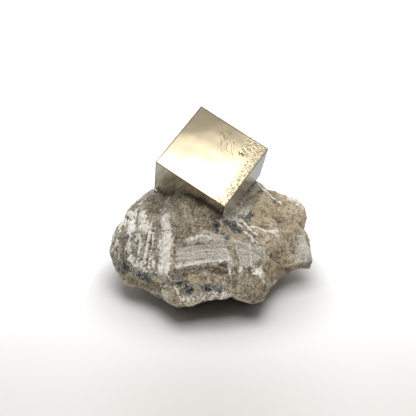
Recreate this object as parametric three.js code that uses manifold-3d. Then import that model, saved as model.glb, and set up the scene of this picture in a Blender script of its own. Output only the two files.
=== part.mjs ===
// Pyrite specimen: one blocky pyrite crystal seated in a broken lump of marl.
// Millimetres, +Z up, +X to the right and -Y towards the viewer. The origin is on the surface
// that the specimen stands on, under the middle of the specimen's box.
import * as THREE from "three";
import { ConvexHull } from "three/addons/math/ConvexHull.js";
import { ImprovedNoise } from "three/addons/math/ImprovedNoise.js";
import { TessellateModifier } from "three/addons/modifiers/TessellateModifier.js";
import { mergeVertices } from "three/addons/utils/BufferGeometryUtils.js";
import Module from "manifold-3d";

const wasm = await Module();
wasm.setup();

// ---- The crystal: a slightly flattened cube that leans towards the viewer ----

const CRYSTAL_WIDTH = 24;
const CRYSTAL_DEPTH = 23.2;
const CRYSTAL_HEIGHT = 18.1;
const CRYSTAL_PLACE = { centre: [-0.8, 5.6, 30.6], yaw: 7.1, lean: 41.6, spin: -39.6 };
const SEAT_GAP = 0.3; // between the crystal and the walls of its seat in the stone

// ---- The stone: corners of its fracture faces, grouped by the part they belong to ----
// Heights here, and the crystal's, are from the level of the lobes; the feet reach further down.

const FOOT_DROP = 4;
const STONE_HEART = [0, 0, 9]; // every corner is in plain sight of this point
const SEAT_RIM = [
  [-19, 7.5, 22.5],
  [-15.5, 2, 21],
  [-13, 4, 21.5],
  [-10.5, 0, 25],
  [-8.5, -2.5, 26],
  [-6.5, -4, 26],
  [-2, -7, 24.5],
  [1, -8, 23],
  [3.5, -9.5, 21.5],
  [5.5, -3, 18.5],
  [8, 4, 18],
  [11, 9, 19],
  [13.5, 12, 21],
  [15, 14, 22.5],
];
const UNDER_CRYSTAL = [
  [-6, 6, 25.5],
  [4, 10, 25],
  [-5, 15, 28.5],
  [4, 15.5, 28],
];
const LEFT_LOBE = [
  [-23, 6, 20.5],
  [-27, 4, 15],
  [-29, 2, 13.5],
  [-30.5, 0, 10.5],
  [-31, -5.5, 8.5],
  [-31, -5.5, 7],
  [-29.5, -8, 5],
  [-28, -10.5, 3.5],
  [-26, -14, 2],
  [-23.5, -15.5, 2],
  [-21, -17, 2.5],
  [-18.5, -18.5, 2],
  [-15.5, -21.5, 3],
  [-25, -6, 15],
  [-20, -6, 17.5],
  [-14, -6, 20.5],
  [-28.5, -4.5, 12],
  [-24.5, -10, 11.5],
  [-18, -12.5, 12.5],
  [-28, -9, 8],
  [-22.5, -15, 7.5],
  [-18, -17.5, 7],
  [-15, -15.5, 10.5],
  [-15, -20.5, 5.5],
];
const FRONT_FACE = [
  [-11.5, -8.5, 21.5],
  [-11.5, -13.5, 15.5],
  [-11.5, -18, 9.5],
  [-6.5, -9, 22],
  [-2.5, -11, 20],
  [-3.5, -14, 16.5],
  [-8, -14, 15.5],
  [5, -17.5, 12],
  [-9.5, -19, 7.5],
  [-3, -19, 9.5],
  [3.5, -18.5, 8.5],
  [-9.5, -22.5, 6],
  [0.5, -24.5, 7],
  [-8, -26.5, 5],
  [3.5, -25.5, 6],
];
const RIGHT_FACE = [
  [5.5, -9.5, 20],
  [8, -10, 18.5],
  [10, -11, 16.5],
  [14.5, -12, 14],
  [6, -14, 16],
  [8, -18, 10],
  [15, -14, 12],
  [14, -16, 8],
  [10.5, -17.5, 8.5],
  [14, -19.5, 6],
  [12.5, -24, 4.5],
  [21, -3.5, 11.5],
  [20, -3, 14.5],
  [21.5, -6, 9],
  [18.5, -11, 7],
  [16.5, -14, 5],
  [11.5, 2, 20.5],
  [10, -3, 19.5],
  [10, -7, 17.5],
  [17.5, 2, 17],
  [15, 6, 20],
];
const RIGHT_CREST = [
  [17, 14, 20.5],
  [19.5, 9, 17.5],
  [21.5, 12.5, 16.5],
  [24, 13, 18.5],
  [27, 12, 18],
  [29, 10, 16],
  [29.5, 8, 13],
  [24, 6, 15],
  [24.5, 1, 11.5],
];
const RIGHT_SPUR = [
  [29, 5.5, 10.5],
  [30, 2, 8.5],
  [26, -0.5, 9],
  [23.5, -3, 9.5],
  [30, -2, 7],
  [30.5, -5, 5],
  [27, -6.5, 5.5],
  [24.5, -6, 6],
  [29.5, -4, 2],
  [26.5, -4, 2],
  [24.5, -5, 1.5],
  [22.5, -7, 2],
  [21.5, -9, 5],
  [20, -10, 2],
  [17.5, -14, 2],
];
const FRONT_RIM = [
  [-13.5, -24.5, 3],
  [-13, -26, 3],
  [-10, -29, 3.5],
  [-5.5, -28.5, 3.5],
  [-0.5, -27.5, 4.5],
  [3.5, -27, 5],
  [5.5, -25.5, 5],
  [8, -25.5, 3.5],
  [11.5, -26.5, 2.5],
  [14.5, -25, 2.5],
  [15.5, -22, 3],
];
const BACK = [
  [-15, 17, 21],
  [-8, 20.5, 25.5],
  [-1, 22.5, 26.5],
  [6, 21.5, 25],
  [12, 19.5, 21.5],
  [-22, 13, 17.5],
  [-26.5, 9, 14],
  [-19, 17.5, 15.5],
  [-12.5, 23.5, 17.5],
  [-9, 22.5, 12.5],
  [-4.5, 26.5, 15.5],
  [4, 24, 19.5],
  [3.5, 26, 12],
  [12.5, 24.5, 13.5],
  [11, 23, 17],
  [19, 20, 14.5],
  [25, 16, 13.5],
  [-29, 6, 8],
  [-25.5, 13.5, 9],
  [-19.5, 17.5, 6],
  [-14, 24, 8.5],
  [-3, 25, 6.5],
  [7.5, 23.5, 7],
  [18, 22.5, 8],
  [26.5, 14, 7],
];
const UNDERSIDE = [
  [-11, -14, -5.5],
  [-5, -14, -5.5],
  [-8, -8, -5.5],
  [9, -13, -5.5],
  [14, -12, -5.5],
  [12, -7, -5.5],
  [3, -15, 0],
  [-12, 20, -5.5],
  [0, 23.5, -5.5],
  [11, 21.5, -5.5],
  [-12, 11, -5.5],
  [10, 12, -5.5],
  [-16, -8, -1],
  [-24, -6, 1.5],
  [0, -6, -2],
  [18, -4, 0],
  [-23, 4, 0.5],
  [-22, 14, -1],
  [22, 5, 0],
  [20, 16, -1.5],
  [0, 4, -2.5],
];

// Fracture relief: how finely the faces are divided, and how far they roll in and out.
const FACET_LENGTH = 3;
const FACET_ROUNDS = 24;
const RELIEF = [
  { wavelength: 9, depth: 0.55 },
  { wavelength: 3.4, depth: 0.5 },
];

// Flat faces that crystals, now gone, have left pressed into the stone. Each is the block that
// is taken away, and the lower face of the block is the imprint.
const IMPRINT_HEIGHT = 4;
const IMPRINTS = [
  { size: [16.6, 6.4], centre: [-3.1, -17.4, 14.2], yaw: -4.5, lean: 51.6, spin: 9 },
  { size: [8.6, 7.6], centre: [11.4, -16.1, 13.6], yaw: 24.4, lean: 56.7, spin: -14 },
  { size: [5, 10], centre: [27.9, -3.6, 9], yaw: 24.7, lean: 24.3, spin: -22 },
];

const GROUND_SIDE = 100;
const GROUND_DEPTH = 20;
const WELD_DISTANCE = 0.001; // corners closer than this are one corner

// ---- Finish ----

const PYRITE_LOOK = { color: 0xcdbf95, roughness: 0.16, metalness: 1 };
const MARL_LOOK = { color: 0x8f826c, roughness: 0.95, metalness: 0 };

// ---- Helpers ----

// The matrix that turns a body about its own upright axis, leans it towards the viewer, turns
// it about the vertical and sets its middle at the centre. Angles are in degrees.
function setting({ centre, yaw, lean, spin }) {
  return new THREE.Matrix4()
    .makeTranslation(...centre)
    .multiply(new THREE.Matrix4().makeRotationZ(THREE.MathUtils.degToRad(yaw)))
    .multiply(new THREE.Matrix4().makeRotationX(THREE.MathUtils.degToRad(lean)))
    .multiply(new THREE.Matrix4().makeRotationZ(THREE.MathUtils.degToRad(spin)));
}

// A triangle geometry as a solid that can be cut.
function solidOf(geometry) {
  const bare = geometry.clone();
  bare.deleteAttribute("normal");
  bare.deleteAttribute("uv");
  const merged = mergeVertices(bare, WELD_DISTANCE);
  return new wasm.Manifold(
    new wasm.Mesh({
      numProp: 3,
      vertProperties: merged.attributes.position.array,
      triVerts: new Uint32Array(merged.index.array),
    }),
  );
}

function geometryOf(solid) {
  const mesh = solid.getMesh();
  const geometry = new THREE.BufferGeometry();
  geometry.setAttribute("position", new THREE.BufferAttribute(mesh.vertProperties, 3));
  geometry.setIndex(new THREE.BufferAttribute(mesh.triVerts, 1));
  geometry.computeVertexNormals();
  return geometry;
}

// The closed skin over the corners. Corners that are neighbours as seen from the heart share a
// face, which is what the hull of their directions gives.
function skinOver(corners, heart) {
  const cornerOf = new Map();
  for (const corner of corners) {
    const point = new THREE.Vector3(...corner);
    cornerOf.set(point.clone().sub(heart).normalize(), point);
  }
  const positions = [];
  for (const face of new ConvexHull().setFromPoints([...cornerOf.keys()]).faces) {
    let edge = face.edge;
    do {
      positions.push(...cornerOf.get(edge.head().point).toArray());
      edge = edge.next;
    } while (edge !== face.edge);
  }
  const skin = new THREE.BufferGeometry();
  skin.setAttribute("position", new THREE.Float32BufferAttribute(positions, 3));
  return skin;
}

// Rolls the skin in and out along the lines from the heart.
function addRelief(skin, heart) {
  const noise = new ImprovedNoise();
  const position = skin.attributes.position;
  const point = new THREE.Vector3();
  for (let i = 0; i < position.count; i += 1) {
    point.fromBufferAttribute(position, i);
    let lift = 0;
    for (const { wavelength, depth } of RELIEF) {
      lift += depth * noise.noise(...point.clone().divideScalar(wavelength).toArray());
    }
    const outward = point.clone().sub(heart).normalize();
    point.addScaledVector(outward, lift);
    position.setXYZ(i, point.x, point.y, point.z);
  }
}

// ---- Pieces ----

function marlStone() {
  const heart = new THREE.Vector3(...STONE_HEART);
  const corners = [
    SEAT_RIM,
    UNDER_CRYSTAL,
    LEFT_LOBE,
    FRONT_FACE,
    RIGHT_FACE,
    RIGHT_CREST,
    RIGHT_SPUR,
    FRONT_RIM,
    BACK,
    UNDERSIDE,
  ].flat();
  const skin = new TessellateModifier(FACET_LENGTH, FACET_ROUNDS).modify(skinOver(corners, heart));
  addRelief(skin, heart);
  const seat = new THREE.BoxGeometry(
    CRYSTAL_WIDTH + 2 * SEAT_GAP,
    CRYSTAL_DEPTH + 2 * SEAT_GAP,
    CRYSTAL_HEIGHT + 2 * SEAT_GAP,
  ).applyMatrix4(setting(CRYSTAL_PLACE));
  const ground = new THREE.BoxGeometry(GROUND_SIDE, GROUND_SIDE, GROUND_DEPTH);
  ground.translate(0, 0, -GROUND_DEPTH / 2 - FOOT_DROP);
  let stone = solidOf(skin).subtract(solidOf(seat)).subtract(solidOf(ground));
  for (const imprint of IMPRINTS) {
    const block = new THREE.BoxGeometry(...imprint.size, IMPRINT_HEIGHT);
    stone = stone.subtract(solidOf(block.applyMatrix4(setting(imprint))));
  }
  return geometryOf(stone);
}

function pyriteCrystal() {
  return new THREE.BoxGeometry(CRYSTAL_WIDTH, CRYSTAL_DEPTH, CRYSTAL_HEIGHT);
}

// Moves the pieces together, so that they stand on the floor with the middle of their box over
// the origin.
function standOnOrigin(group) {
  const middle = new THREE.Box3().setFromObject(group, true).getCenter(new THREE.Vector3());
  const move = new THREE.Vector3(-middle.x, -middle.y, FOOT_DROP);
  for (const piece of group.children) {
    piece.position.add(move);
  }
}

const marl = new THREE.Mesh(marlStone(), new THREE.MeshStandardMaterial(MARL_LOOK));
marl.name = "marl_matrix";

const pyrite = new THREE.Mesh(pyriteCrystal(), new THREE.MeshStandardMaterial(PYRITE_LOOK));
pyrite.name = "pyrite_crystal";
pyrite.applyMatrix4(setting(CRYSTAL_PLACE));

const specimen = new THREE.Group();
specimen.name = "pyrite_specimen";
specimen.add(marl, pyrite);
standOnOrigin(specimen);

export default specimen;
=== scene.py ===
"""Pyrite specimen: one bright, blocky crystal seated in a lump of veined marl.

The frame gives the place and size of both pieces. The stone is carved finer than the frame's own
solid and the crystal gets its growth lines and pits. Lengths are in metres unless a name or a
docstring says millimetres, and MM turns the one into the other.
"""

import logging
import math
from dataclasses import dataclass
from enum import Enum

import bmesh
import bpy
import numpy as np
from mathutils import Matrix, Vector, noise


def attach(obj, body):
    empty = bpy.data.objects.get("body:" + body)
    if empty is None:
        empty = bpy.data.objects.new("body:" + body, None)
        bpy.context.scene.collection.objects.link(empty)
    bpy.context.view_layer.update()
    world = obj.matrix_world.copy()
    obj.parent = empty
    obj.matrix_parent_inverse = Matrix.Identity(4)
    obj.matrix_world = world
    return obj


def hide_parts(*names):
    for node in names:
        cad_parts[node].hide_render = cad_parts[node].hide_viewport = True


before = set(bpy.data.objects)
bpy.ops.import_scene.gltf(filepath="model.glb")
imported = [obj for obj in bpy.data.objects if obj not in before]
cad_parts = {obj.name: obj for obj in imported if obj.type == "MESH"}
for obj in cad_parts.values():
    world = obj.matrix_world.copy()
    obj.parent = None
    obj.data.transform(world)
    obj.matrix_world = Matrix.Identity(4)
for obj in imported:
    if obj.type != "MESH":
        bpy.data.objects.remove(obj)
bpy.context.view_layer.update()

MM = 0.001
BODY = "root"
LOG = logging.getLogger("specimen")

Socket = bpy.types.NodeSocket
Pair = tuple[float, float]
Point = tuple[float, float, float]
Colour = tuple[float, float, float, float]
Feed = Socket | float | Point | Colour  # what a shader input takes
Rows = np.ndarray  # places or directions, three numbers a row, in millimetres

WHITE: Colour = (1.0, 1.0, 1.0, 1.0)
BLACK: Colour = (0.0, 0.0, 0.0, 1.0)


# Shader nodes


class Recipe:
    """A material's or a room's node tree, with short calls for the nodes that the finishes use."""

    def __init__(self, owner: bpy.types.Material | bpy.types.World) -> None:
        """Starts an empty tree.

        Args:
            owner: the material or world that the tree belongs to.
        """
        owner.use_nodes = True
        self.owner = owner
        self.tree = owner.node_tree
        self.tree.nodes.clear()
        kind = "World" if isinstance(owner, bpy.types.World) else "Material"
        self.output = self.tree.nodes.new(f"ShaderNodeOutput{kind}")

    def feed(self, socket: Socket, value: Feed) -> None:
        """Links an output to a socket, or sets the socket to a plain value.

        Args:
            socket: the input to fill.
            value: an output socket, a number or a colour.
        """
        if isinstance(value, Socket):
            self.tree.links.new(value, socket)
        else:
            socket.default_value = value

    def node(self, kind: str, inputs: dict[str | int, Feed] | None = None, **settings: str) -> bpy.types.Node:
        """Adds a node.

        Args:
            kind: the node's type name, without the part that all shader nodes share.
            inputs: what each of its inputs is fed, by name or number.
            **settings: values for the node's own properties.

        Returns:
            The new node.
        """
        made = self.tree.nodes.new(f"ShaderNode{kind}")
        for key, value in settings.items():
            setattr(made, key, value)
        for key, value in (inputs or {}).items():
            self.feed(made.inputs[key], value)
        return made

    def finish(self, shader: Socket) -> None:
        """Ends the tree with a shader.

        Args:
            shader: the shader's output.
        """
        self.tree.links.new(shader, self.output.inputs["Surface"])

    def place(self) -> Socket:
        """Returns the piece's own coordinates."""
        return self.node("TexCoord").outputs["Object"]

    def stored(self, name: str, output: str = "Fac") -> Socket:
        """Returns what is stored on the mesh for the finish.

        Args:
            name: the attribute's name.
            output: Fac for a number or Vector for a place.
        """
        return self.node("Attribute", attribute_name=name).outputs[output]

    def stretch(self, vector: Socket, scale: Point) -> Socket:
        """Stretches a set of coordinates.

        Args:
            vector: the coordinates.
            scale: factor along each axis.

        Returns:
            The changed coordinates.
        """
        return self.node("Mapping", {"Vector": vector, "Scale": scale}).outputs["Vector"]

    def cloud(
        self, vector: Socket, scale: float, detail: float = 4.0, rough: float = 0.55, warp: float = 0.0
    ) -> Socket:
        """Adds fractal noise.

        Args:
            vector: the coordinates it reads.
            scale: cells per unit of the coordinates.
            detail: number of octaves.
            rough: strength of each octave against the one before.
            warp: how far the noise bends itself.

        Returns:
            The noise, from 0 to 1.
        """
        inputs = {"Vector": vector, "Scale": scale, "Detail": detail, "Roughness": rough, "Distortion": warp}
        return self.node("TexNoise", inputs).outputs["Fac"]

    def grains(self, vector: Socket, scale: float) -> Socket:
        """Adds a pattern of cells, each in a random colour.

        Args:
            vector: the coordinates it reads.
            scale: cells per unit of the coordinates.

        Returns:
            The cells' colours.
        """
        return self.node("TexVoronoi", {"Vector": vector, "Scale": scale}).outputs["Color"]

    def sum(self, kind: str, first: Feed, second: Feed = 0.0) -> Socket:
        """Adds a sum of two numbers.

        Args:
            kind: the operation's name.
            first: first number.
            second: second number.

        Returns:
            The result.
        """
        return self.node("Math", {0: first, 1: second}, operation=kind).outputs[0]

    def spread(self, value: Feed, low: float, high: float, start: float = 0.0, end: float = 1.0) -> Socket:
        """Maps a range of a number smoothly to another range.

        Args:
            value: the number.
            low: where the range starts.
            high: where the range ends.
            start: result at the range's start.
            end: result at the range's end.

        Returns:
            The result.
        """
        inputs = {"Value": value, "From Min": low, "From Max": high, "To Min": start, "To Max": end}
        return self.node("MapRange", inputs, interpolation_type="SMOOTHSTEP").outputs["Result"]

    def blend(self, share: Feed, first: Feed, second: Feed) -> Socket:
        """Mixes two colours.

        Args:
            share: how much of the second there is.
            first: first colour.
            second: second colour.

        Returns:
            The mixed colour.
        """
        inputs = {"Factor": share, "A": first, "B": second}
        return self.node("Mix", inputs, data_type="RGBA").outputs["Result"]

    def bump(self, height: Feed, depth: float, below: Feed | None = None) -> Socket:
        """Adds a bump.

        Args:
            height: the relief, from 0 to 1.
            depth: depth of the relief in metres.
            below: a normal that this one is laid over.

        Returns:
            The bumped normal.
        """
        inputs = {"Strength": 1.0, "Distance": depth, "Height": height}
        if below is not None:
            inputs["Normal"] = below
        return self.node("Bump", inputs).outputs["Normal"]

    def surface(self, **inputs: Feed) -> bpy.types.Material:
        """Ends the tree with a surface shader.

        Args:
            **inputs: values for the shader's inputs, with an underscore for each space.

        Returns:
            The finished material.
        """
        named = {key.replace("_", " "): value for key, value in inputs.items()}
        self.finish(self.node("BsdfPrincipled", named).outputs["BSDF"])
        return self.owner


def srgb(red: int, green: int, blue: int) -> Colour:
    """Turns a colour as a screen shows it into the linear colour that a shader takes.

    Args:
        red: from 0 to 255.
        green: from 0 to 255.
        blue: from 0 to 255.

    Returns:
        The linear colour, opaque.
    """
    linear = [((c / 255 + 0.055) / 1.055) ** 2.4 if c > 10 else c / 3294.6 for c in (red, green, blue)]
    return (linear[0], linear[1], linear[2], 1.0)


# Mesh helpers


def new_object(name: str, mesh: bpy.types.Mesh) -> bpy.types.Object:
    """Puts a mesh in the scene as an object at the origin.

    Args:
        name: the object's name.
        mesh: its mesh.

    Returns:
        The object.
    """
    made = bpy.data.objects.new(name, mesh)
    bpy.context.scene.collection.objects.link(made)
    return made


def welded_copy(node: str) -> bmesh.types.BMesh:
    """Copies a frame node's mesh with its loose triangles joined.

    Args:
        node: the node's name.

    Returns:
        The copy, in the frame's axes.
    """
    copy = bmesh.new()
    copy.from_mesh(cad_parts[node].data)
    bmesh.ops.remove_doubles(copy, verts=copy.verts, dist=0.002 * MM)
    return copy


def places_of(mesh: bpy.types.Mesh) -> Rows:
    """Returns the places of a mesh's vertices.

    Args:
        mesh: the mesh.
    """
    flat = np.empty(len(mesh.vertices) * 3)
    mesh.vertices.foreach_get("co", flat)
    return flat.reshape(-1, 3) / MM


def normals_of(mesh: bpy.types.Mesh) -> Rows:
    """Returns the normals of a mesh's vertices.

    Args:
        mesh: the mesh.
    """
    flat = np.empty(len(mesh.vertices) * 3)
    mesh.vertices.foreach_get("normal", flat)
    return flat.reshape(-1, 3)


def move_to(mesh: bpy.types.Mesh, places: Rows) -> None:
    """Moves a mesh's vertices.

    Args:
        mesh: the mesh.
        places: the new places.
    """
    mesh.vertices.foreach_set("co", (places * MM).ravel())
    mesh.update()


def store(mesh: bpy.types.Mesh, name: str, values: np.ndarray) -> None:
    """Stores numbers or places on a mesh's vertices for its material to read.

    Args:
        mesh: the mesh.
        name: the attribute's name.
        values: one number or one row of three for each vertex.
    """
    if values.ndim == 1:
        mesh.attributes.new(name, "FLOAT", "POINT").data.foreach_set("value", values)
    else:
        mesh.attributes.new(name, "FLOAT_VECTOR", "POINT").data.foreach_set("vector", values.ravel())


def smoothstep(value: np.ndarray, low: float, high: float) -> np.ndarray:
    """Rises smoothly from 0 at low to 1 at high.

    Args:
        value: the numbers to map.
        low: where the rise starts.
        high: where the rise ends, which may be below low for a fall.

    Returns:
        The mapped numbers.
    """
    share = np.clip((value - low) / (high - low), 0.0, 1.0)
    return share * share * (3.0 - 2.0 * share)


@dataclass(frozen=True)
class Grain:
    """A random pattern: the size of its widest lumps, its layers, its seed and its height."""

    size: float
    layers: int
    seed: float
    height: float = 1.0

    def at(self, places: Rows) -> np.ndarray:
        """Returns a smooth random number for each place, from about -height to height.

        Args:
            places: the places.
        """
        scaled = places / self.size + self.seed
        numbers = [noise.fractal(Vector(row), 0.9, 2.0, self.layers) for row in scaled.tolist()]
        return np.array(numbers) * self.height

    def ridged(self, places: Rows) -> np.ndarray:
        """Returns a random number for each place that peaks along sharp crests.

        Args:
            places: the places.
        """
        return 0.5 * self.height - 2.0 * np.abs(self.at(places))


def distance_to_path(places: Rows, path: tuple[Point, ...]) -> np.ndarray:
    """Measures how far each place is from a line through some points.

    Args:
        places: the places.
        path: the line's points.

    Returns:
        One distance for each place, in millimetres.
    """
    nearest = np.full(len(places), np.inf)
    for start, end in zip(path[:-1], path[1:]):
        first = np.array(start)
        along = np.array(end) - first
        share = np.clip((places - first) @ along / (along @ along), 0.0, 1.0)
        nearest = np.minimum(nearest, np.linalg.norm(places - first - share[:, None] * along, axis=1))
    return nearest


# The crystal


@dataclass(frozen=True)
class PyriteFinish:
    """Pale brass-yellow metal with a mirror polish, dulled a little where it is pitted.

    The depth of its fine lines is in millimetres.
    """

    metal: Colour = (0.62, 0.53, 0.365, 1.0)
    film: Colour = (0.61, 0.515, 0.345, 1.0)
    steel: Colour = (0.72, 0.69, 0.61, 1.0)
    trough_shade_brown: Colour = (0.34, 0.21, 0.085, 1.0)
    cavity: Colour = (0.07, 0.045, 0.025, 1.0)
    rim: Colour = (0.16, 0.11, 0.05, 1.0)
    polish: float = 0.1
    haze: float = 0.1
    side_haze: float = 0.06
    line_depth: float = 0.006

    def material(self) -> bpy.types.Material:
        """Returns the finish as a material that reads the crystal's own stored places."""
        recipe = Recipe(bpy.data.materials.new("pyrite"))
        place = recipe.stored("crystal_place", "Vector")
        worn = recipe.stored("worn")
        side = recipe.stored("side")
        film = recipe.spread(recipe.cloud(place, 0.5, 5.0, 0.6, 0.4), 0.4, 0.7, 0.0, 0.6)
        film = recipe.sum("MAXIMUM", film, worn)
        metal = recipe.blend(film, self.metal, self.film)
        # Painted shade: the ripples' troughs are darkened brown.
        metal = recipe.blend(recipe.stored("trough_shade"), metal, self.trough_shade_brown)
        metal = recipe.blend(side, metal, self.steel)
        # Painted reflection: a thin dark line along every edge, in place of the rounded edges' dark
        # reflection.
        metal = recipe.blend(recipe.stored("edge"), metal, self.rim)
        # The pits and the blot are painted near black: partly tarnish, partly painted shade in their hollows.
        metal = recipe.blend(recipe.stored("pits"), metal, self.cavity)
        smears = recipe.cloud(recipe.stretch(place, (0.5, 2.4, 1.0)), 1.0, 4.0, 0.6)
        rough = recipe.spread(smears, 0.35, 0.8, self.polish, self.polish * 1.35)
        rough = recipe.sum("ADD", rough, recipe.sum("MULTIPLY", worn, self.haze))
        rough = recipe.sum("ADD", rough, recipe.sum("MULTIPLY", side, self.side_haze))
        lines = recipe.cloud(recipe.stretch(place, (0.12, 0.12, 5.0)), 1.0, 3.0, 0.5)
        lines = recipe.sum("MULTIPLY", lines, side)
        normal = recipe.bump(lines, self.line_depth * MM)
        return recipe.surface(Base_Color=metal, Metallic=1.0, Roughness=rough, Normal=normal)


@dataclass
class PyriteCrystal:
    """The crystal: a block with finely rounded edges, growth lines and small pits, in millimetres."""

    node: str = "pyrite_crystal"
    edge_round: float = 0.07
    wide_cuts: int = 178
    tall_cuts: int = 40
    pit_sizes: tuple[Point, ...] = ((0.4, 0.46, 3.0), (0.62, 0.38, 11.0))
    ripple_middle: Pair = (1.2, 6.0)
    ripple_way: Pair = (0.585, -0.811)
    ripple_gap: float = 0.72
    blot_middle: Pair = (6.1, 6.3)
    swell: Grain = Grain(6.5, 2, 21.0, 0.018)
    steps: Grain = Grain(1.6, 2, 33.0, 0.012)
    wear: Grain = Grain(2.2, 2, 7.0, 0.45)
    bends: Grain = Grain(1.8, 2, 40.0, 0.16)
    breaks: Grain = Grain(1.0, 2, 5.0)
    outline: Grain = Grain(2.0, 2, 17.0, 0.3)
    streaks: Grain = Grain(1.0, 2, 27.0)
    ripple_height: float = 0.013
    pit_depth: float = 0.07
    blot_share: float = 0.85
    finish: PyriteFinish = PyriteFinish()

    def __post_init__(self) -> None:
        """Finds the crystal's axes from the frame's node."""
        block = welded_copy(self.node)
        flat = math.radians(1.0)
        bmesh.ops.dissolve_limit(block, angle_limit=flat, verts=block.verts, edges=block.edges)
        top = max(block.verts, key=lambda corner: corner.co.z)
        others = [edge.other_vert(top).co - top.co for edge in top.link_edges]
        right = max(others, key=lambda way: way.x)
        left = min((way for way in others if way.z > min(o.z for o in others)), key=lambda way: way.x)
        down = next(way for way in others if way is not right and way is not left)
        self.size = Vector((right.length, left.length, down.length)) / MM
        self.half = np.array(self.size) / 2
        turn = Matrix((right.normalized(), -left.normalized(), -down.normalized())).transposed()
        corners = [corner.co.copy() for corner in block.verts]
        block.free()
        self.centre = sum(corners, Vector()) / len(corners)
        self.middle = np.array(self.centre) / MM
        self.place = Matrix.Translation(self.centre) @ turn.to_4x4()

    def local(self, places: Rows) -> Rows:
        """Turns places in the frame into places along the crystal's own axes.

        Args:
            places: the places.

        Returns:
            The same places from the crystal's middle along its axes.
        """
        return (places - self.middle) @ np.array(self.place.to_3x3())

    def outward(self, local: Rows) -> Rows:
        """Turns places along the crystal's own axes back into places in the frame.

        Args:
            local: places from the crystal's middle along its axes.

        Returns:
            The same places in the frame.
        """
        return local @ np.array(self.place.to_3x3()).T + self.middle

    def gap(self, local: Rows) -> np.ndarray:
        """Returns how far each place is outside the crystal, in millimetres.

        Args:
            local: places from the crystal's middle along its axes.
        """
        return np.linalg.norm(local - np.clip(local, -self.half, self.half), axis=1)

    def block(self) -> bmesh.types.BMesh:
        """Returns the block with rounded edges, cut into a fine grid, along its own axes."""
        made = bmesh.new()
        bmesh.ops.create_cube(made, size=1.0)
        bmesh.ops.scale(made, vec=self.size * MM, verts=made.verts)
        bmesh.ops.bevel(
            made,
            geom=made.edges,
            affect="EDGES",
            offset=self.edge_round * MM,
            segments=2,
            profile=0.5,
            material=-1,
        )
        wide = [edge for edge in made.edges if edge.calc_length() > MM and self.climb(edge) < MM]
        bmesh.ops.subdivide_edges(made, edges=wide, cuts=self.wide_cuts, use_grid_fill=True)
        tall = [edge for edge in made.edges if self.climb(edge) > MM]
        bmesh.ops.subdivide_edges(made, edges=tall, cuts=self.tall_cuts, use_grid_fill=True)
        return made

    def climb(self, edge: bmesh.types.BMEdge) -> float:
        """Returns how far an edge climbs.

        Args:
            edge: the edge.
        """
        return abs(edge.verts[0].co.z - edge.verts[1].co.z)

    def pits_on(self, flat: Rows) -> tuple[np.ndarray, np.ndarray]:
        """Works out the pits on the upper face, which gather along one edge and at its ends.

        Args:
            flat: places on the face, from its middle.

        Returns:
            How deep each place is in a pit and how worn the face is there, both from 0 to 1.
        """
        half_x, half_y, _ = self.half
        to_side = half_x - flat[:, 0]
        to_corner = np.hypot(to_side, half_y - flat[:, 1])
        to_foot = np.hypot(to_side * 0.6, half_y + flat[:, 1])
        worn = smoothstep(to_side, 3.4, 0.2) * 0.7
        worn = np.maximum(worn, smoothstep(to_corner, 9.0, 1.5) * 0.85)
        worn = np.maximum(worn, smoothstep(to_foot, 2.8, 0.6))
        worn = np.clip(worn * (0.9 + self.wear.at(flat)), 0.0, 1.0)
        deep = np.zeros(len(flat))
        for size, wide, seed in self.pit_sizes:
            cells = flat * np.array([1.0, 1.3, 1.0]) / size + seed
            for index in np.nonzero(worn > 0.06)[0]:
                gaps, spots = noise.voronoi(Vector(cells[index].tolist()))
                if noise.cell(spots[0] * 7.3) * 0.5 + 0.5 < 0.42 + worn[index] * 0.36:
                    deep[index] = max(deep[index], 1.0 - gaps[0] / wide)
        return np.clip(deep * 1.8, 0.0, 1.0) * (0.75 + 0.25 * worn), worn

    def along_ripples(self, flat: Rows, middle: Pair) -> tuple[np.ndarray, np.ndarray]:
        """Measures places on the upper face along the ripples and across them.

        Args:
            flat: places on the face, from its middle.
            middle: the place on the face to measure from.

        Returns:
            How far down the ripples and how far across them each place is.
        """
        off = flat[:, :2] - np.array(middle)
        along = np.array(self.ripple_way)
        return off @ along, off @ np.array([-along[1], along[0]])

    def ripples(self, flat: Rows) -> np.ndarray:
        """Works out the patch of fine wavy growth ripples near the middle of the upper face.

        Args:
            flat: places on the face, from its middle.

        Returns:
            The height of each place, from about -1 to 1.
        """
        down, across = self.along_ripples(flat, self.ripple_middle)
        bend = across + 0.1 * np.sin(down * 1.4) + self.bends.at(flat)
        broken = self.breaks.at(np.stack([bend / 0.7, down / 2.6, np.zeros(len(flat))], axis=1))
        waves = np.sin(bend * math.tau / self.ripple_gap) * smoothstep(broken, -0.2, 0.35)
        reach = np.hypot(down / 5.6, across / 3.4) + self.outline.at(flat)
        return waves * smoothstep(reach, 1.0, 0.45)

    def blot(self, flat: Rows) -> np.ndarray:
        """Works out the small streaky blot that lies between the ripples and the pitted corner.

        Args:
            flat: places on the face, from its middle.

        Returns:
            How dark each place is, from 0 to 1.
        """
        down, across = self.along_ripples(flat, self.blot_middle)
        streaks = self.streaks.at(np.stack([down / 1.8, across / 0.55, np.zeros(len(flat))], axis=1))
        return smoothstep(np.hypot(down / 2.1, across / 1.3), 1.0, 0.3) * smoothstep(streaks, -0.1, 0.25)

    def to_edge(self, places: Rows) -> np.ndarray:
        """Measures how far each place on the skin is from the nearest edge of the block.

        Args:
            places: places along the crystal's own axes.

        Returns:
            One distance for each place, in millimetres.
        """
        return np.sort(self.half - np.abs(places), axis=1)[:, 1]

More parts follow.
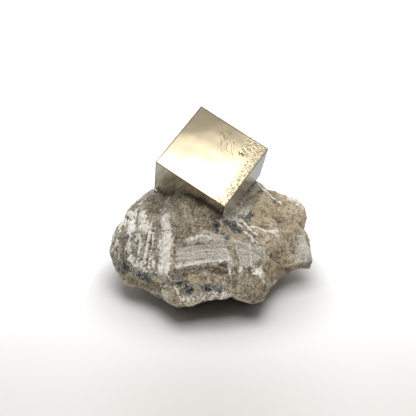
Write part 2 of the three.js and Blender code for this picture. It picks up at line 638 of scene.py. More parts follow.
    def weather(self, mesh: bpy.types.Mesh) -> None:
        """Gives the faces their waves, growth lines and pits, and stores what the finish reads.

        Args:
            mesh: the crystal's mesh, along its own axes.
        """
        places = places_of(mesh)
        facing = normals_of(mesh)
        top = facing[:, 2] > 0.95
        swell = self.swell.at(places)
        swell += np.where(top, 0.0, self.steps.at(places * np.array([0.03, 0.03, 1.0])))
        pits, worn, trough_shade = np.zeros((3, len(places)))
        upper = places[top]
        waves = self.ripples(upper)
        swell[top] += self.ripple_height * waves
        pits[top], worn[top] = self.pits_on(upper)
        pits[top] = np.maximum(pits[top], self.blot_share * self.blot(upper))
        # Painted shade in the ripples' troughs.
        trough_shade[top] = np.clip(-waves, 0.0, 1.0) * 0.8
        move_to(mesh, places + facing * (swell - self.pit_depth * pits)[:, None])
        store(mesh, "trough_shade", trough_shade)
        # Painted reflection: a dark line along the edges.
        store(mesh, "edge", smoothstep(self.to_edge(places), 0.42, 0.1))
        store(mesh, "crystal_place", places)
        store(mesh, "pits", pits)
        store(mesh, "worn", worn)
        store(mesh, "side", np.where(top, 0.0, 1.0))

    def build(self) -> bpy.types.Object:
        """Builds, places and dresses the crystal.

        Returns:
            The crystal's object.
        """
        block = self.block()
        mesh = bpy.data.meshes.new("pyrite_block")
        block.to_mesh(mesh)
        block.free()
        self.weather(mesh)
        mesh.transform(self.place)
        mesh.shade_smooth()
        mesh.materials.append(self.finish.material())
        made = new_object("bright_crystal", mesh)
        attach(made, BODY)
        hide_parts(self.node)
        LOG.info("crystal: %d vertices", len(mesh.vertices))
        return made


# The stone


class Mark(Enum):
    """What a stretch of the stone's surface is made of or covered with."""

    CHALK = "chalk"
    SLATE = "slate"
    PALE = "pale"
    OCHRE = "ochre"
    ASH = "ash"
    UMBER = "umber"


@dataclass(frozen=True)
class Seam:
    """A mark that follows a line over the stone, in millimetres from the crystal's middle."""

    reach: float
    path: tuple[Point, ...]
    rise: float = 0.0
    strength: float = 1.0


@dataclass(frozen=True)
class Imprint:
    """A flat face that a lost crystal pressed into the stone, given by its corners in order."""

    corners: tuple[Point, ...]
    line_gap: float
    slack: float = 1.6
    grain: Grain = Grain(1.0, 2, 4.0, 1.6)

    def axes(self) -> tuple[np.ndarray, np.ndarray, np.ndarray]:
        """Returns the face's corners, its upright and the direction of its growth lines."""
        corners = np.array(self.corners)
        upright = np.cross(corners[1] - corners[0], corners[2] - corners[1])
        along = corners[1] - corners[0]
        return corners, upright / np.linalg.norm(upright), along / np.linalg.norm(along)

    def cover(self, places: Rows) -> np.ndarray:
        """Measures how far inside the face's outline each place is.

        Args:
            places: the places.

        Returns:
            Distance inside the nearest edge, negative outside or away from the face's plane.
        """
        corners, upright, _ = self.axes()
        middle = corners.mean(axis=0)
        inside = self.slack - np.abs((places - middle) @ upright)
        for start, end in zip(corners, np.roll(corners, -1, axis=0)):
            inward = np.cross(upright, end - start)
            inward /= np.linalg.norm(inward)
            if (middle - start) @ inward < 0.0:
                inward = -inward
            inside = np.minimum(inside, (places - start) @ inward)
        return inside

    def lines(self, places: Rows) -> np.ndarray:
        """Gives each place its height on the fine growth lines that run along the face.

        Args:
            places: the places.

        Returns:
            A number from about -1 to 1 for each place.
        """
        _, upright, along = self.axes()
        across = places @ np.cross(upright, along)
        stretched = np.stack([places @ along * 0.16, across / self.line_gap, np.zeros(len(places))], axis=1)
        return self.grain.at(stretched)


SLAB = Imprint(((-10, -20, -16), (4.5, -20, -14.5), (5.5, -23, -18.5), (-10, -23.5, -20.5)), 0.75)
SIDE_FACE = Imprint(
    ((7, -19.5, -14), (15, -18, -17), (16.5, -18, -18.5), (11.5, -22.5, -21), (9, -24, -21)), 1.1
)
SPUR_FACE = Imprint(((29, -1.5, -20), (30.5, -10, -27), (26, -12.5, -25), (26, -7, -21.5)), 1.5, 2.2)
IMPRINTS = (SLAB, SIDE_FACE, SPUR_FACE)
# The steps that the imprints leave in the frame's solid along their upper edges.
STEPS = (
    ((-9.5, -20, -15.5), (-5, -20.2, -15), (-1, -20.3, -14.2), (3.5, -19.6, -14)),
    ((25.5, -4.4, -21.5), (27.5, -4, -21), (29, -3.8, -21)),
)

SEAMS = {
    Mark.CHALK: (
        # The wide upright band left of the middle, and the thin vein below it.
        Seam(2.1, ((-13.2, -12.5, -10.5), (-12.7, -15.5, -12.5), (-12.7, -18.5, -15)), 0.4),
        Seam(2.7, ((-12.7, -18.5, -15), (-13, -21, -18), (-13.2, -23.5, -21)), 0.4),
        Seam(0.4, ((-13, -24, -22), (-11, -25.5, -24), (-9.5, -28.5, -25), (-8, -33.5, -26)), 0.3, 0.6),
        # Streaks down the left lobe.
        Seam(1.5, ((-24.5, -2, -14), (-24, -5, -14.7), (-23, -11, -15)), 0.25, 0.85),
        Seam(2.0, ((-20.5, -6.5, -12), (-20, -10, -13), (-18.5, -13, -13.5)), 0.2, 0.9),
        Seam(1.2, ((-24.5, -14, -17), (-23.5, -16, -20), (-22, -18, -22)), 0.1, 0.65),
        Seam(0.6, ((-17.2, -11, -11.5), (-17.6, -14, -14.5), (-18.6, -17.5, -18.5)), 0.35, 0.9),
        Seam(0.9, ((-21, -13.5, -15.5), (-20.5, -15.5, -17), (-21.5, -18, -19.5)), 0.2, 0.8),
        Seam(0.5, ((-17.5, -12.5, -13), (-18, -16, -16.5), (-19, -19.5, -20.5), (-22, -20, -22.5)), 0.45),
        Seam(0.5, ((-16.5, -14.5, -14.5), (-17, -18.5, -18)), 0.4, 0.9),
        Seam(0.5, ((-21.5, -2, -10.5), (-17.5, 2, -8)), 0.35),
        Seam(0.9, ((-27, -16, -22.5), (-24, -19, -23.5)), 0.1, 0.5),
        # The light rim of the brown hump under the crystal.
        Seam(0.45, ((-14, -9.5, -10), (-12, -7.5, -8), (-9.5, -8.5, -5.5)), 0.2, 0.7),
        # Crossed veins in front of the crystal's lowest corner.
        Seam(0.42, ((6.5, -7.5, -12), (9.5, -16, -13), (12.5, -17.5, -15), (15.5, -18, -17)), 0.45),
        Seam(0.3, ((7.8, -8.5, -12), (11, -15, -13), (13.6, -16.7, -14.6), (16.5, -17.3, -17)), 0.3, 0.9),
        Seam(1.2, ((4.5, -10.5, -10.5), (7, -9.5, -11.5), (9.5, -10, -12)), 0.1, 0.7),
        Seam(0.5, ((9, -9.5, -12), (11.5, -13, -13.5), (13.5, -15, -14.5)), 0.4),
        Seam(0.5, ((9, -12.5, -12.5), (11, -16.5, -14), (12.5, -18, -15.5)), 0.3, 0.8),
        Seam(0.65, ((12, -12, -13.5), (14, -11.5, -14), (16, -11.5, -15)), 0.25, 0.75),
        Seam(1.1, ((16, -11.5, -15), (18, -11, -15.5), (20, -9, -16)), 0.25, 0.8),
        Seam(0.9, ((18.5, -11.5, -15.5), (20.5, -11, -17.5)), 0.2, 0.7),
        # Pale spar right of the crystal's lowest corner, laid wide and bright partly as painted light where
        # the crystal shades the stone.
        Seam(2.8, ((4, -4, -12.5), (5, 0.5, -12.5), (8, 1.5, -12), (10, -7, -11)), 0.0, 0.75),
        # Edges of the pale imprints.
        Seam(0.45, ((-10, -23.5, -20.5), (-5.5, -23, -20), (0, -23, -19), (5.5, -23, -18.5)), 0.2),
        Seam(0.6, ((-6.5, -19.5, -14.5), (-3, -19, -13), (-1, -19, -13), (1.5, -20, -14)), 0.25, 0.8),
        Seam(0.5, ((7, -19.5, -14), (8, -22, -17.5), (9, -24, -21)), 0.3),
        Seam(0.4, ((11.5, -18.5, -15.5), (12, -22.5, -21)), 0.15, 0.9),
        Seam(0.45, ((7, -19.5, -14), (11, -18.8, -15.2), (15, -18, -17)), 0.2, 0.9),
        Seam(0.5, ((4.5, -21, -16.5), (6.5, -23.5, -20), (8.5, -24.5, -21.5)), 0.2, 0.7),
        Seam(0.9, ((5.5, -23.5, -19.5), (5.5, -25, -22)), 0.15, 0.6),
        Seam(1.8, ((13, -23, -22), (15, -21.5, -23), (14.5, -24, -24.5)), 0.15, 0.7),
        # The white foot and the light crest on the right.
        Seam(
            2.6,
            ((-7.5, -33.5, -26), (-3.5, -32, -25.6), (-0.5, -31.5, -25), (5, -31.6, -25.5)),
            0.15,
            0.45,
        ),
        Seam(0.7, ((8, -32.5, -27), (12, -33, -28), (14.5, -31, -28)), 0.1, 0.7),
        Seam(0.5, ((15, 8, -8), (17, 7.5, -10), (19, 6, -11.5), (22, 3.5, -13)), 0.35),
        Seam(1.4, ((25.5, 6, -12.5), (27.5, 5, -13.5)), 0.0, 0.9),
        Seam(0.5, ((24.5, 6, -12.2), (28, 5, -13.2), (29.5, 3, -15.5)), 0.2, 0.8),
        # Veins low on the left lobe.
        Seam(0.8, ((-24, -17, -21.5), (-21, -19.5, -22.5), (-18, -21.5, -23)), 0.3, 0.8),
        Seam(0.9, ((-16.5, -19.5, -20), (-15.5, -22, -22.5), (-14, -24.5, -24.5)), 0.2, 0.7),
    ),
    Mark.PALE: (
        # Thin spar that creeps over the widest imprint's top and round the others.
        Seam(1.6, ((-6, -19.5, -14.3), (-3, -19.2, -13.4), (0, -19.4, -13.6), (3, -19.6, -14.2)), 0.1),
        Seam(0.7, ((-1.5, -18, -11.9), (1, -18.5, -12.4), (4, -19.3, -13.6)), 0.1),
        Seam(0.9, ((26, -4.3, -20.3), (27.6, -4.3, -21)), 0.3),
        Seam(1.3, ((5.2, -21.5, -17), (6, -24, -20.6)), 0.0, 0.8),
    ),
    Mark.SLATE: (
        # Clusters of small dark crystals.
        Seam(1.5, ((1.5, -15.8, -9.8), (2, -17.2, -11.6)), 0.1),
        Seam(1.7, ((5.2, -15.6, -10.3), (7.5, -16, -11.7)), 0.1),
        Seam(1.3, ((8.3, -16, -12.4), (8.6, -16.1, -12.7)), 0.1),
        Seam(0.9, ((4.5, -18.5, -13), (4.8, -18.8, -13.2)), 0.1, 0.9),
        Seam(1.5, ((10.5, -9, -11.6), (12, -7.5, -11.2)), 0.1, 0.85),
        Seam(2.1, ((-8.3, -26.5, -23.7), (-7, -28.5, -24), (-6, -30, -24.3)), 0.1),
        Seam(1.9, ((-1.5, -29.5, -24), (0.5, -30, -23.7), (3.2, -30.6, -24)), 0.1),
        # The hollow step under the widest imprint, which has no grains.
        Seam(1.1, ((-10, -24.3, -21.5), (-2, -24.2, -20.7), (5.5, -24, -19.5)), -0.25, 0.0),
        # Small hollows with dark grains.
        Seam(0.7, ((18, -16.5, -20.5), (17.5, -18.5, -22.5)), -0.25),
        Seam(1.0, ((-24, -11.5, -15.5), (-23.5, -13.5, -17)), -0.2, 0.85),
        Seam(1.1, ((-21.5, -14.5, -16.5), (-21, -16, -18)), -0.2, 0.8),
        Seam(1.5, ((-26, -16.5, -23), (-24.5, -18, -24)), -0.2, 0.85),
        Seam(1.3, ((-21, -21.5, -24.5), (-18.5, -23, -24.5)), -0.15, 0.85),
        Seam(0.6, ((6.5, -25.5, -22.5), (7, -27, -23.5)), -0.15, 0.8),
    ),
    Mark.UMBER: (
        # Brown patches on the ash-grey lobe.
        Seam(2.6, ((-18.5, -5, -11), (-16.5, -7.5, -10.5), (-15.8, -12, -11.5))),
        Seam(2.2, ((-25.5, -19, -27.5), (-20.5, -22.5, -26.5), (-15, -26, -26))),
    ),
}


@dataclass(frozen=True)
class MarlFinish:
    """Earthy marl: brown grains, ochre stains, ash-grey skin, chalky spar and slate-blue specks.

    The depths of its grain are in millimetres.
    """

    umber: Colour = srgb(150, 134, 106)
    umber_dark: Colour = srgb(100, 84, 61)
    ochre: Colour = srgb(216, 195, 160)
    ochre_dark: Colour = srgb(176, 155, 121)
    ash: Colour = srgb(162, 156, 140)
    ash_dark: Colour = srgb(114, 108, 94)
    pale: Colour = srgb(226, 219, 207)
    pale_dark: Colour = srgb(160, 152, 138)
    chalk: Colour = srgb(253, 248, 238)
    chalk_dark: Colour = srgb(224, 217, 202)
    slate: Colour = srgb(112, 117, 118)
    slate_dark: Colour = srgb(40, 45, 48)
    dust_and_highlight: Colour = srgb(222, 212, 192)
    soil_and_shade: Colour = srgb(70, 60, 44)
    fine_depth: float = 0.26
    grit_depth: float = 0.15

    def material(self) -> bpy.types.Material:
        """Returns the finish as a material that reads the stone's masks and its own coordinates."""
        recipe = Recipe(bpy.data.materials.new("marl"))
        place = recipe.place()
        masks = {mark: recipe.stored(mark.value) for mark in Mark}
        crest = recipe.stored("crest")
        mottle = recipe.spread(recipe.cloud(place, 360.0, 6.0, 0.7, 0.4), 0.4, 0.62)
        fine = recipe.cloud(place, 1300.0, 4.0, 0.7)
        gritty = recipe.cloud(place, 3200.0, 2.0, 0.7)
        patches = recipe.cloud(place, 170.0, 3.0, 0.5, 0.6)
        wisps = recipe.cloud(recipe.stretch(place, (1.0, 1.0, 0.5)), 650.0, 4.0, 0.65, 1.6)
        wisps = recipe.sum("ABSOLUTE", recipe.sum("SUBTRACT", wisps, 0.5))
        cells = recipe.grains(place, 1500.0)
        colour = recipe.blend(mottle, self.umber, self.umber_dark)
        ochre = recipe.blend(mottle, self.ochre, self.ochre_dark)
        ash = recipe.blend(mottle, self.ash, self.ash_dark)
        colour = recipe.blend(self.ragged(recipe, masks[Mark.OCHRE], fine, 0.5), colour, ochre)
        colour = recipe.blend(self.ragged(recipe, masks[Mark.ASH], fine, 0.5), colour, ash)
        for pattern, clean_or_unshaded, covered, share, dirt in (
            (wisps, 0.035, 0.0, 0.7, self.dust_and_highlight),
            (gritty, 0.51, 0.66, 0.85, self.dust_and_highlight),
            (gritty, 0.47, 0.33, 0.75, self.soil_and_shade),
            (fine, 0.46, 0.3, 0.7, self.soil_and_shade),
            (patches, 0.52, 0.62, 0.38, self.soil_and_shade),
            (patches, 0.46, 0.36, 0.18, self.dust_and_highlight),
        ):
            colour = recipe.blend(recipe.spread(pattern, clean_or_unshaded, covered, 0.0, share), colour, dirt)
        pale = recipe.blend(recipe.spread(gritty, 0.38, 0.56), self.pale_dark, self.pale)
        colour = recipe.blend(self.ragged(recipe, masks[Mark.PALE], fine, 0.25), colour, pale)
        # Painted highlight: proud edges are lightened.
        colour = recipe.blend(recipe.spread(crest, 0.15, 1.0, 0.0, 0.6), colour, self.dust_and_highlight)
        clean_or_unshaded = recipe.sum("SUBTRACT", 1.0, recipe.sum("MULTIPLY", masks[Mark.PALE], 0.4))
        # Painted shade: hollows are darkened, less so on the pale spar.
        hollow = recipe.sum("MULTIPLY", recipe.spread(crest, -0.1, -1.0, 0.0, 0.7), clean_or_unshaded)
        colour = recipe.blend(hollow, colour, self.soil_and_shade)
        # Painted shade in the crevice beside the crystal, and darker towards the bottom of the stone.
        colour = recipe.blend(recipe.stored("crevice"), colour, self.soil_and_shade)
        slate = recipe.sum("ADD", recipe.sum("MULTIPLY", masks[Mark.SLATE], 0.72), cells)
        blue = recipe.blend(recipe.spread(cells, 0.35, 0.75), self.slate_dark, self.slate)
        colour = recipe.blend(recipe.spread(slate, 0.82, 0.96, 0.0, 0.95), colour, blue)
        chalk = recipe.blend(recipe.spread(fine, 0.3, 0.6), self.chalk_dark, self.chalk)
        colour = recipe.blend(self.ragged(recipe, masks[Mark.CHALK], fine, 0.45), colour, chalk)
        rough = recipe.spread(fine, 0.3, 0.7, 0.8, 0.95)
        normal = recipe.bump(fine, self.fine_depth * MM)
        normal = recipe.bump(gritty, self.grit_depth * MM, normal)
        return recipe.surface(Base_Color=colour, Roughness=rough, Normal=normal, Specular_IOR_Level=0.25)

    def ragged(self, recipe: Recipe, mask: Feed, pattern: Feed, bite: float) -> Socket:
        """Breaks up the edge of a mask with a pattern.

        Args:
            recipe: the material in the making.
            mask: the mask, from 0 to 1.
            pattern: the pattern, from 0 to 1.
            bite: how far the pattern eats into the mask.

        Returns:
            The broken mask.
        """
        shift = recipe.sum("MULTIPLY", recipe.sum("SUBTRACT", pattern, 0.5), bite * 3.0)
        return recipe.spread(recipe.sum("ADD", mask, shift), 0.25, 0.75)


@dataclass
class MarlStone:
    """The host rock: the frame's solid, remeshed finely and weathered, in millimetres."""

    crystal: PyriteCrystal
    node: str = "marl_matrix"
    voxel: float = 0.34
    crest_rounds: int = 7
    crest_height: float = 0.16
    healed_rounds: int = 36
    wander: Grain = Grain(1.7, 3, 50.0)
    fray: Grain = Grain(0.7, 2, 80.0)
    fibres: Grain = Grain(1.0, 2, 23.0)
    streaks: Grain = Grain(1.0, 3, 61.0)
    lumps: Grain = Grain(4.2, 4, 1.0, 0.4)
    grit: Grain = Grain(0.8, 2, 9.0, 0.16)
    slate_grit: Grain = Grain(0.62, 1, 19.0, 0.25)
    folds: Grain = Grain(1.0, 2, 14.0, 0.4)
    leaves: Grain = Grain(2.4, 3, 31.0, 0.32)
    rough_places: Grain = Grain(6.0, 2, 71.0)
    crevice_edge: Grain = Grain(1.3, 2, 90.0, 0.5)
    low_patches: Grain = Grain(3.5, 2, 95.0)
    line_height: float = 0.16
    grasp: Pair = (0.6, 0.3)
    tuck: float = 0.06
    finish: MarlFinish = MarlFinish()

    def fine_mesh(self) -> bpy.types.Mesh:
        """Returns the frame's solid as an even fine mesh."""
        rough = welded_copy(self.node)
        mesh = bpy.data.meshes.new("marl_rough")
        rough.to_mesh(mesh)
        rough.free()
        holder = new_object("marl_rough", mesh)
        remesh = holder.modifiers.new("even", "REMESH")
        remesh.mode = "VOXEL"
        remesh.voxel_size = self.voxel * MM
        shown = holder.evaluated_get(bpy.context.evaluated_depsgraph_get())
        fine = bpy.data.meshes.new_from_object(shown)
        bpy.data.objects.remove(holder)
        bpy.data.meshes.remove(mesh)
        return fine

    def masks(self, spots: Rows) -> tuple[dict[Mark, np.ndarray], np.ndarray]:
        """Works out where each mark lies and how the seams lift the surface.

        Args:
            spots: places from the crystal's middle.

        Returns:
            A number from 0 to 1 for each mark and place, and the lift in millimetres.
        """
        found = {mark: np.zeros(len(spots)) for mark in Mark}
        lift = np.zeros(len(spots))
        wander = self.wander.at(spots)
        fray = self.fray.at(spots)
        fibres = 0.6 + 0.4 * smoothstep(self.fibres.at(self.down_lobe(spots) * 3.2), -0.45, 0.1)
        for mark, seams in SEAMS.items():
            for seam in seams:
                stray = (wander + 0.5 * fray) * min(seam.reach, 0.9) * 0.6
                gap = distance_to_path(spots, seam.path) + stray
                cover = smoothstep(gap, seam.reach * 1.3, seam.reach * 0.25) * seam.strength
                found[mark] = np.maximum(found[mark], cover)
                lift += seam.rise * smoothstep(gap, seam.reach, 0.0)
        found[Mark.CHALK] *= fibres
        for imprint in IMPRINTS:
            cover = smoothstep(imprint.cover(spots) + wander * 0.35, -0.3, 0.3)
            found[Mark.PALE] = np.maximum(found[Mark.PALE], cover)
            lift += self.line_height * cover * imprint.lines(spots)
        across = spots[:, 0] + wander * 0.9
        found[Mark.ASH] = smoothstep(across, -10.5, -12.5) * (1.0 - found[Mark.UMBER])
        found[Mark.OCHRE] = smoothstep(across + 0.35 * spots[:, 1], 5.0, 11.0)
        streaks = self.streaks.at(self.down_lobe(spots)) + 0.4 * fray
        white = smoothstep(streaks, 0.15, 0.6) * found[Mark.ASH] * smoothstep(spots[:, 2], -25.0, -21.0)
        found[Mark.CHALK] = np.maximum(found[Mark.CHALK], 0.75 * white)
        return found, lift

    def down_lobe(self, spots: Rows) -> Rows:
        """Stretches places so that a noise over them runs down the left lobe.

        Args:
            spots: places from the crystal's middle.

        Returns:
            The stretched places.
        """
        across = (spots[:, 0] - 0.18 * spots[:, 1]) / 2.3
        down = (spots[:, 2] * 0.7 + spots[:, 1] * 0.6) / 9.0
        return np.stack([across, down, spots[:, 2] / 14.0], axis=1)

    def relief(self, spots: Rows, masks: dict[Mark, np.ndarray]) -> np.ndarray:
        """Works out the stone's grain.

        Args:
            spots: places from the crystal's middle.
            masks: where each mark lies.

        Returns:
            The lift of each place in millimetres.
        """
        folds = self.folds.ridged(self.down_lobe(spots))
        layered = spots @ np.array([[0.32, 0.0, 0.22], [0.0, 0.5, 0.1], [0.12, 0.3, 0.9]])
        leaves = self.leaves.ridged(layered)
        rough = smoothstep(self.rough_places.at(spots), -0.3, 0.5)
        lift = self.lumps.at(spots) + self.grit.at(spots)
        lift += self.slate_grit.at(spots) * masks[Mark.SLATE]
        lift += rough * (masks[Mark.ASH] * folds + masks[Mark.OCHRE] * leaves)
        return lift * (1.0 - 0.88 * masks[Mark.PALE])

    def beside_crystal(self, places: Rows, masks: dict[Mark, np.ndarray]) -> np.ndarray:
        """Lays pale spar on the crystal's right, partly as painted light, clears its left of chalk and paints
        shade in the crevice there.

        Args:
            places: the places.
            masks: where each mark lies, which gains the spar and loses the chalk.

        Returns:
            How dark each place is painted, from 0 to 1: painted shade in the crevice, and darker towards the
            bottom near the foot.
        """
        half = self.crystal.half
        local = self.crystal.local(places)
        ragged = self.crystal.gap(local) + self.crevice_edge.at(places)
        # Pale spar on the crystal's right, partly painted light where the crystal shades the stone.
        right = smoothstep(ragged, 4.0, 2.0) * smoothstep(local[:, 0], half[0] - 0.5, half[0] + 0.5)
        masks[Mark.PALE] = np.maximum(masks[Mark.PALE], 0.75 * right)
        below = smoothstep(local[:, 1], 0.5 - half[1], -half[1])
        masks[Mark.CHALK] *= 1.0 - 0.85 * below * smoothstep(ragged, 7.0, 4.0)
        # Painted shade in the crevice left of the crystal's lowest corner.
        left = below * smoothstep(local[:, 0], -6.0, 2.0)
        # Darker towards the bottom of the stone, broken into patches.
        low = smoothstep(places[:, 2], 14.0, 7.0) * smoothstep(places[:, 0], -12.0, -8.0)
        low *= 0.3 + 0.7 * smoothstep(self.low_patches.at(places), -0.25, 0.25)
        return np.maximum(0.85 * smoothstep(ragged, 1.8, 0.4) * left, 0.5 * low)

    def hug_crystal(self, places: Rows) -> Rows:
        """Closes the fine gap between the stone and the crystal.

        Args:
            places: the places.

        Returns:
            The places, drawn up to just under the crystal's skin where they were beside it.
        """
        local = self.crystal.local(places)
        share = smoothstep(self.crystal.gap(local), *self.grasp)
        skin = self.crystal.half - self.tuck
        drawn = local + (np.clip(local, -skin, skin) - local) * share[:, None]
        return self.crystal.outward(drawn)

    def evened(self, mesh: bpy.types.Mesh, rounds: int) -> Rows:
        """Works out where a mesh's vertices would lie if its relief were rubbed down.

        Args:
            mesh: the mesh.
            rounds: how many times each vertex is moved to the middle of its neighbours.

        Returns:
            The places.
        """
        ends = np.empty(len(mesh.edges) * 2, dtype=np.int32)
        mesh.edges.foreach_get("vertices", ends)
        first, second = ends.reshape(-1, 2).T
        count = len(mesh.vertices)
        near = np.bincount(first, minlength=count) + np.bincount(second, minlength=count)
        even = places_of(mesh)
        for _ in range(rounds):
            sums = [
                np.bincount(first, even[second, axis], count) + np.bincount(second, even[first, axis], count)
                for axis in range(3)
            ]
            even = np.stack(sums, axis=1) / near[:, None]
        return even

    def heal(self, mesh: bpy.types.Mesh) -> None:
        """Rubs down the steps that the imprints leave along their upper edges.

        Args:
            mesh: the mesh.
        """
        places = places_of(mesh)
        spots = places - self.crystal.middle
        share = np.zeros(len(spots))
        for step in STEPS:
            share = np.maximum(share, smoothstep(distance_to_path(spots, step), 2.0, 0.9))
        move_to(mesh, places + (self.evened(mesh, self.healed_rounds) - places) * share[:, None])

    def crests(self, mesh: bpy.types.Mesh) -> np.ndarray:
        """Finds the proud edges and the hollows of a mesh.

        Args:
            mesh: the mesh.

        Returns:
            A number for each vertex: 1 on a crest, 0 on a flat, -1 in a hollow.
        """
        proud = ((places_of(mesh) - self.evened(mesh, self.crest_rounds)) * normals_of(mesh)).sum(axis=1)
        return np.clip(proud / self.crest_height, -1.0, 1.0)

    def build(self) -> bpy.types.Object:
        """Builds and dresses the stone.

        Returns:
            The stone's object.
        """
        mesh = self.fine_mesh()
        self.heal(mesh)
        places = places_of(mesh)
        spots = places - self.crystal.middle
        masks, lift = self.masks(spots)
        lift += self.relief(spots, masks)
        placed = self.hug_crystal(places + normals_of(mesh) * lift[:, None])
        placed[:, 2] = np.maximum(placed[:, 2], 0.0)
        move_to(mesh, placed)
        store(mesh, "crevice", self.beside_crystal(places, masks))
        for mark in Mark:
            store(mesh, mark.value, masks[mark])
        store(mesh, "crest", self.crests(mesh))
        mesh.shade_smooth()
        mesh.materials.append(self.finish.material())
        made = new_object("marl_stone", mesh)
        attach(made, BODY)
        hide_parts(self.node)
        LOG.info("stone: %d vertices", len(mesh.vertices))
        return made


# The studio


@dataclass(frozen=True)
class Softbox:
    """A square lamp with a soft face, in millimetres from the middle of the crystal."""

    name: str
    place: Point
    size: Pair
    glow: float
    aim: Point = (0.0, 0.0, 0.0)
    mirrored: bool = True
    lighting: bool = True

    def build(self, middle: Vector) -> None:
        """Hangs the lamp.

        Args:
            middle: the crystal's middle.
        """
        lamp = bpy.data.lights.new(self.name, "AREA")
        lamp.shape = "RECTANGLE"
        lamp.size, lamp.size_y = (side * MM for side in self.size)
        lamp.energy = self.glow * math.pi * lamp.size * lamp.size_y
        holder = bpy.data.objects.new(self.name, lamp)
        bpy.context.scene.collection.objects.link(holder)
        holder.location = middle + Vector(self.place) * MM
        way = Vector(self.aim) * MM + middle - holder.location
        holder.rotation_euler = way.to_track_quat("-Z", "Y").to_euler()
        holder.visible_glossy = self.mirrored
        holder.visible_diffuse = self.lighting
        holder.visible_camera = False


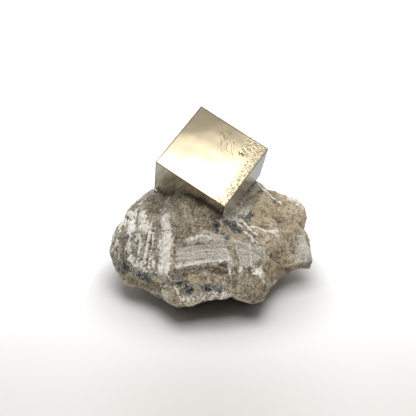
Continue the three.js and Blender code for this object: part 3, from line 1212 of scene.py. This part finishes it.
@dataclass
class Studio:
    """The pale sweep, the soft lamps and the camera, in millimetres and degrees."""

    middle: Vector
    floor_side: float = 330.0
    camera_place: Point = (-0.6, -236.6, 97.4)
    camera_tilt: float = 25.0
    lens: float = 73.56
    sensor: float = 36.0
    clip: Pair = (10.0, 20000.0)
    sky_axis: Point = (0.0, 0.8, 0.6)
    sky_bright: float = 0.6
    sky_dim: float = 0.12
    sky_mirrored: float = 0.5
    sky_seen: float = 1.2
    cloth_light: Colour = (0.67, 0.665, 0.66, 1.0)
    cloth_dark: Colour = (0.64, 0.635, 0.63, 1.0)
    cloth_mirrored: Colour = (0.50, 0.52, 0.55, 1.0)
    seen_in_front: Colour = (0.725, 0.695, 0.67, 1.0)
    seen_beside: Colour = (0.83, 0.8, 0.775, 1.0)
    seen_behind: Colour = (1.3, 1.3, 1.3, 1.0)
    seen_far: Colour = (1.5, 1.5, 1.5, 1.0)
    shade: float = 0.32
    shade_reach: Pair = (20.0, 43.0)
    beside_reach: Pair = (0.0, 42.0)
    behind_reach: Pair = (-70.0, 40.0)
    far_reach: Pair = (110.0, 155.0)

    def floor(self) -> None:
        """Lays the pale floor, which the camera sees with a painted shadow in front of and around the stone
        and painted light behind it.
        """
        sheet = bmesh.new()
        bmesh.ops.create_grid(sheet, x_segments=1, y_segments=1, size=self.floor_side * MM / 2)
        mesh = bpy.data.meshes.new("floor")
        sheet.to_mesh(mesh)
        sheet.free()
        recipe = Recipe(bpy.data.materials.new("pale_sweep"))
        place = recipe.place()
        cloth = recipe.blend(recipe.cloud(place, 300.0, 3.0), self.cloth_dark, self.cloth_light)
        path = recipe.node("LightPath")
        cloth = recipe.blend(path.outputs["Is Glossy Ray"], cloth, self.cloth_mirrored)
        place = recipe.stretch(place, (1.0 / MM, 1.0 / MM, 1.0 / MM))
        way = recipe.node("SeparateXYZ", {"Vector": place})
        # For camera rays only: painted shadow in a strip in front of the stone, painted light behind it.
        beside = recipe.spread(recipe.sum("ABSOLUTE", way.outputs["X"]), *self.beside_reach)
        seen = recipe.blend(beside, self.seen_in_front, self.seen_beside)
        seen = recipe.blend(recipe.spread(way.outputs["Y"], *self.behind_reach), seen, self.seen_behind)
        # Painted shadow in a ring around the stone.
        near = self.reach(recipe, recipe.stretch(place, (0.87, 1.0, 1.0)))
        seen = recipe.blend(recipe.spread(near, *self.shade_reach, self.shade, 0.0), seen, BLACK)
        far = recipe.spread(self.reach(recipe, place), *self.far_reach)
        seen = recipe.blend(far, seen, self.seen_far)
        colour = recipe.blend(path.outputs["Is Camera Ray"], cloth, seen)
        recipe.finish(recipe.node("BsdfDiffuse", {"Color": colour}).outputs["BSDF"])
        mesh.materials.append(recipe.owner)
        new_object("floor", mesh)

    def reach(self, recipe: Recipe, vector: Socket) -> Socket:
        """Returns the length of a vector as a number for a material.

        Args:
            recipe: the material in the making.
            vector: the vector.
        """
        return recipe.node("VectorMath", {0: vector}, operation="LENGTH").outputs["Value"]

    def world(self) -> None:
        """Sets the light of the room: plain white to the camera, and brightest overhead and behind."""
        world = bpy.data.worlds.new("white_room")
        bpy.context.scene.world = world
        recipe = Recipe(world)
        way = recipe.node("TexCoord").outputs["Generated"]
        shine = recipe.node("VectorMath", {0: way, 1: self.sky_axis}, operation="DOT_PRODUCT")
        level = recipe.spread(shine.outputs["Value"], -0.3, 0.9, self.sky_dim, self.sky_bright)
        room, mirrored, seen = (
            recipe.node("Background", {"Color": WHITE, "Strength": strength}).outputs["Background"]
            for strength in (level, self.sky_mirrored, self.sky_seen)
        )
        path = recipe.node("LightPath")
        mix = recipe.node("MixShader", {0: path.outputs["Is Glossy Ray"], 1: room, 2: mirrored})
        mix = recipe.node("MixShader", {0: path.outputs["Is Camera Ray"], 1: mix.outputs[0], 2: seen})
        recipe.finish(mix.outputs[0])

    def lamps(self) -> None:
        """Hangs the soft lamps."""
        for lamp in (
            Softbox("overhead", (0.0, 20.0, 260.0), (260.0, 200.0), 2.7, mirrored=False),
            Softbox("key", (20.0, -125.0, 210.0), (150.0, 90.0), 5.2, mirrored=False),
            Softbox("band", (0.0, -133.0, 240.0), (420.0, 160.0), 1.1, (0.0, -133.0, 0.0), lighting=False),
            Softbox("spot", (17.0, -78.5, 236.0), (70.0, 24.0), 3.1, (17.0, -78.5, 0.0), lighting=False),
        ):
            lamp.build(self.middle)

    def camera(self) -> None:
        """Sets the camera up in front of the crystal, looking down at it."""
        data = bpy.data.cameras.new("camera")
        data.lens = self.lens
        data.sensor_width = self.sensor
        data.clip_start, data.clip_end = (limit * MM for limit in self.clip)
        holder = bpy.data.objects.new("camera", data)
        bpy.context.scene.collection.objects.link(holder)
        holder.location = self.middle + Vector(self.camera_place) * MM
        holder.rotation_euler = (math.radians(90.0 - self.camera_tilt), 0.0, 0.0)
        bpy.context.scene.camera = holder

    def build(self) -> None:
        """Builds the whole studio."""
        bpy.context.scene.view_settings.view_transform = "Standard"
        self.camera()
        self.floor()
        self.world()
        self.lamps()
        LOG.info("studio: camera, floor, room and lamps")


def main() -> None:
    """Builds the crystal, the stone and the studio, in that order."""
    logging.basicConfig(level=logging.INFO, format="%(name)s: %(message)s")
    crystal = PyriteCrystal()
    crystal.build()
    MarlStone(crystal).build()
    Studio(crystal.centre).build()


if __name__ == "__main__":
    main()
